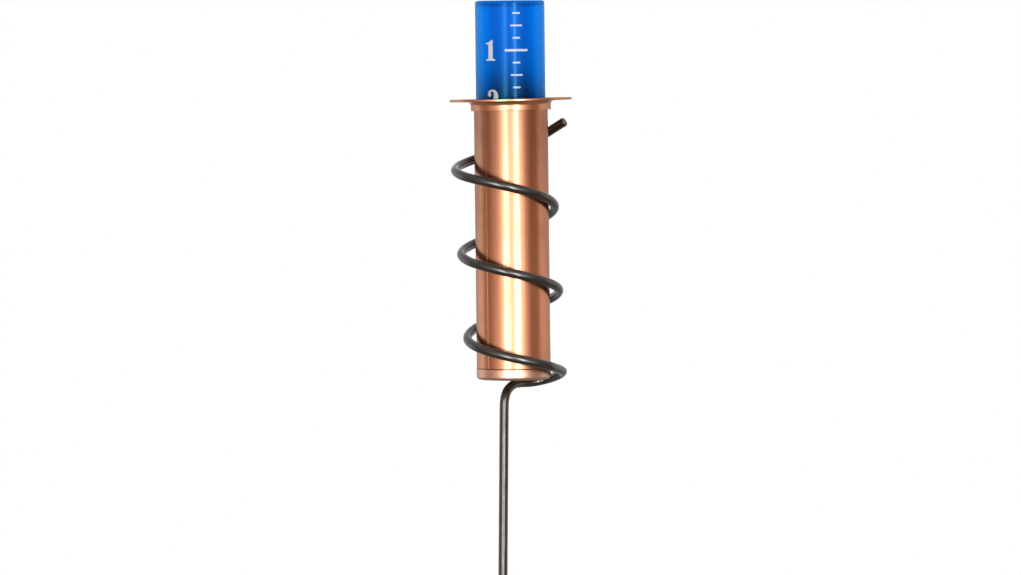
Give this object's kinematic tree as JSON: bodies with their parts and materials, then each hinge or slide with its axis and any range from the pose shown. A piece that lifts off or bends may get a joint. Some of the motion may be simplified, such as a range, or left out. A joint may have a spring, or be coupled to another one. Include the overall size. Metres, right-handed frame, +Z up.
{
  "type": "manual rain gauge",
  "caption": "Rain gauge with a graduated float rising from a round copper reservoir that stands loosely in the spiral of a bent steel ground stake.",
  "frame": {"origin": "on the stake's axis, at the soil line", "axes": "+Z up, along the reservoir and the float; -Y is the front, where the float's scale is read; the reservoir's axis is 10.4 mm towards +X, and the stake leans 1.05 degrees towards it"},
  "size_m": [0.063, 0.063, 0.6601],
  "materials": {
    "steel": "dark waxed steel rod with a low sheen",
    "copper": null,
    "plastic": "clear blue moulded plastic, glossy"
  },
  "bodies": {
    "stake": {"spiral_stake": "steel"},
    "reservoir": {"reservoir_tube": "copper", "bottom_cap": "copper", "collar": "copper"},
    "float": {"float_tube": "plastic", "float_plug": "plastic"}
  },
  "joints": [
    {"name": "reservoir_lift", "type": "slide", "parent": "stake", "child": "reservoir", "axis": [0, 0, 1], "range_m": [0, 0.15]},
    {"name": "float_rise", "type": "slide", "parent": "reservoir", "child": "float", "axis": [0, 0, 1], "range_m": [-0.0508, 0.0762]}
  ]
}
